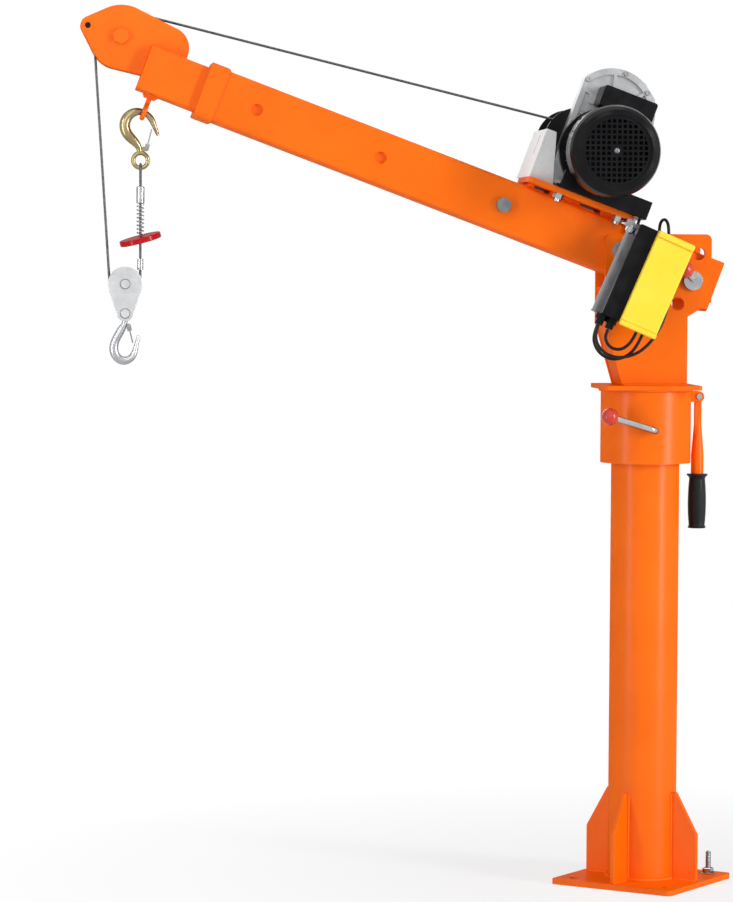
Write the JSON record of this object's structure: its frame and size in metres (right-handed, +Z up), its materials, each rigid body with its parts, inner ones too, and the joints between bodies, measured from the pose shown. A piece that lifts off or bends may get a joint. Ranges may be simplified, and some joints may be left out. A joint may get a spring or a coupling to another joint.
{
  "type": "pickup truck crane",
  "caption": "Post-mounted swivelling truck crane with a luffing telescopic boom, electric rope hoist, hook block and side control box on a square bolt-down base.",
  "frame": {"origin": "centre of the base plate's underside, on the post's axis", "axes": "+Z up along the post; the boom reaches towards -X; the control box and motor face -Y"},
  "size_m": [1.2226, 0.3864, 1.6208],
  "materials": {
    "orange_paint": "satin powder coat",
    "zinc_steel": "zinc plated",
    "grey_steel": "plain steel",
    "black_paint": "semi-gloss",
    "black_plastic": "matte",
    "cast_alloy": "as cast",
    "sheet_zinc": "galvanised sheet",
    "red_plastic": "glossy",
    "black_rubber": "matte",
    "yellow_plastic": "satin",
    "gold_zinc": "yellow passivated steel",
    "wire_rope": "stranded",
    "nylon": "natural"
  },
  "bodies": {
    "base": {"base_plate": "orange_paint", "post": "orange_paint", "gussets": "orange_paint"},
    "swivel_head": {"collar": "orange_paint", "head_plate": "orange_paint", "swivel_bushes": "nylon", "yoke_plates": "orange_paint", "yoke_web": "orange_paint", "pivot_bolt": "zinc_steel", "handle_lug": "orange_paint", "handle_pin": "zinc_steel"},
    "clamp_lever": {"clamp_lever": "zinc_steel", "clamp_knob": "red_plastic"},
    "slew_handle": {"slew_handle": "orange_paint", "handle_grip": "black_rubber"},
    "luff_pin": {"luff_pin": "grey_steel", "luff_pin_knob": "red_plastic"},
    "boom_outer": {"boom_outer_tube": "orange_paint", "boom_band": "orange_paint", "hoist_saddle": "orange_paint", "saddle_bolts": "zinc_steel", "saddle_risers": "orange_paint", "hoist_base": "black_paint", "motor_body": "black_paint", "fan_cover": "black_paint", "gear_housing": "cast_alloy", "capacitor_box": "black_plastic", "drum_guard": "sheet_zinc", "control_box": "black_plastic", "control_cover": "yellow_plastic", "control_bracket": "grey_steel", "cable_glands": "black_plastic", "cable_jumpers": "black_rubber", "cable_feed": "black_rubber", "rope_run": "wire_rope"},
    "motor_rotor": {"motor_shaft": "grey_steel", "cooling_fan": "black_plastic"},
    "rope_drum": {"rope_drum": "black_paint", "drum_winding": "wire_rope"},
    "telescope_pin": {"telescope_pin": "grey_steel"},
    "boom_inner": {"boom_inner_tube": "orange_paint", "head_cheeks": "orange_paint", "head_sheave_bolt": "orange_paint", "boom_eye": "orange_paint", "anchor_hook": "gold_zinc", "rope_dead_end": "wire_rope", "rope_crimps": "zinc_steel", "rope_head_wrap": "wire_rope", "limit_spring": "zinc_steel"},
    "head_sheave": {"head_sheave": "grey_steel"},
    "anchor_latch": {"anchor_hook_latch": "zinc_steel"},
    "limit_disc": {"limit_disc": "red_plastic"},
    "hook_block": {"block_cheeks": "zinc_steel", "block_pins": "zinc_steel", "rope_block_wrap": "wire_rope", "rope_fall_live": "wire_rope", "rope_fall_dead": "wire_rope"},
    "block_sheave": {"block_sheave": "grey_steel"},
    "load_hook": {"load_hook": "zinc_steel"},
    "load_latch": {"load_hook_latch": "zinc_steel"}
  },
  "joints": [
    {"name": "slew", "type": "hinge", "parent": "base", "child": "swivel_head", "pos_m": [0, 0, 0.86], "axis": [0, 0, 1], "continuous": true},
    {"name": "boom_luff", "type": "hinge", "parent": "swivel_head", "child": "boom_outer", "pos_m": [-0.0578, 0, 1.1794], "axis": [0, 1, 0], "range_deg": [-20.5, 20.5]},
    {"name": "boom_extend", "type": "slide", "parent": "boom_outer", "child": "boom_inner", "axis": [-0.9367, 0, 0.3502], "range_m": [0, 0.485]},
    {"name": "telescope_pin_pull", "type": "slide", "parent": "boom_outer", "child": "telescope_pin", "axis": [0, -1, 0], "range_m": [0, 0.125]},
    {"name": "luff_pin_pull", "type": "slide", "parent": "swivel_head", "child": "luff_pin", "axis": [0, -1, 0], "range_m": [0, 0.013]},
    {"name": "clamp_turn", "type": "hinge", "parent": "swivel_head", "child": "clamp_lever", "pos_m": [0.003, -0.084, 0.8485], "axis": [0, -1, 0], "range_deg": [-20, 40]},
    {"name": "handle_fold", "type": "hinge", "parent": "swivel_head", "child": "slew_handle", "pos_m": [0.0983, 0, 0.9088], "axis": [0, -1, 0], "range_deg": [0, 100]},
    {"name": "motor_spin", "type": "hinge", "parent": "boom_outer", "child": "motor_rotor", "pos_m": [-0.09473, -0.12, 1.35762], "axis": [0, 1, 0], "continuous": true},
    {"name": "hook_lift", "type": "slide", "parent": "boom_inner", "child": "hook_block", "axis": [0, 0, 1], "range_m": [-0.75, 0], "deforming": ["rope_fall_live", "rope_fall_dead"]},
    {"name": "drum_spin", "type": "hinge", "parent": "boom_outer", "child": "rope_drum", "pos_m": [-0.13688, 0.038, 1.38192], "axis": [0, 1, 0], "range_deg": [-3060, 1]},
    {"name": "head_sheave_spin", "type": "hinge", "parent": "boom_inner", "child": "head_sheave", "pos_m": [-0.97833, 0, 1.56393], "axis": [0, 1, 0], "range_deg": [-1792, 1]},
    {"name": "block_sheave_spin", "type": "hinge", "parent": "hook_block", "child": "block_sheave", "pos_m": [-0.969, 0, 1.1129], "axis": [0, 1, 0], "range_deg": [-1536, 1]},
    {"name": "load_hook_swing", "type": "hinge", "parent": "hook_block", "child": "load_hook", "pos_m": [-0.969, 0, 1.059], "axis": [0, 1, 0], "range_deg": [-25, 25]},
    {"name": "load_latch_open", "type": "hinge", "parent": "load_hook", "child": "load_latch", "pos_m": [-0.962, 0, 1.036], "axis": [0, 1, 0], "range_deg": [0, 30], "stiffness_Nm_per_rad": 0.05, "springref_deg": -17.19},
    {"name": "anchor_latch_open", "type": "hinge", "parent": "boom_inner", "child": "anchor_latch", "pos_m": [-0.93, 0, 1.36], "axis": [0, -1, 0], "range_deg": [0, 35], "stiffness_Nm_per_rad": 0.05, "springref_deg": -17.19},
    {"name": "limit_lift", "type": "slide", "parent": "boom_inner", "child": "limit_disc", "axis": [0, 0, 1], "range_m": [0, 0.025], "stiffness_N_per_m": 300, "springref_m": -0.004, "deforming": ["limit_spring"]}
  ],
  "couplings": [
    {"joint": "drum_spin", "follows": "hook_lift", "rad_per_m": 71.174},
    {"joint": "head_sheave_spin", "follows": "hook_lift", "rad_per_m": 41.667},
    {"joint": "block_sheave_spin", "follows": "hook_lift", "rad_per_m": 35.714}
  ]
}
